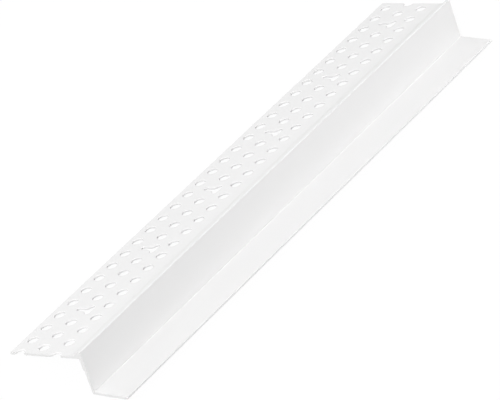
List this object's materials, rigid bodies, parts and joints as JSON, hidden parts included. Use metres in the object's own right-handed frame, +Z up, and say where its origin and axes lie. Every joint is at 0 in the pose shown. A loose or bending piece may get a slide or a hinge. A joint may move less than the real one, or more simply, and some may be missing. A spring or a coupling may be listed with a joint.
{
  "type": "shadow gap edge profile",
  "caption": "Extruded Z-section edge bead with a perforated flange, a nib that stops filler, a web and a plain foot for a recessed board edge.",
  "frame": {"origin": "on the floor, under the middle of the resting length", "axes": "+Y along the length, +X across from the free edge of the flange to the foot, +Z up; the section leans as a loose length rests"},
  "size_m": [0.0424, 0.2196, 0.0137],
  "materials": {
    "edge_profile": "satin white extruded rigid vinyl"
  },
  "bodies": {
    "root": {"edge_profile": "edge_profile"}
  },
  "joints": []
}
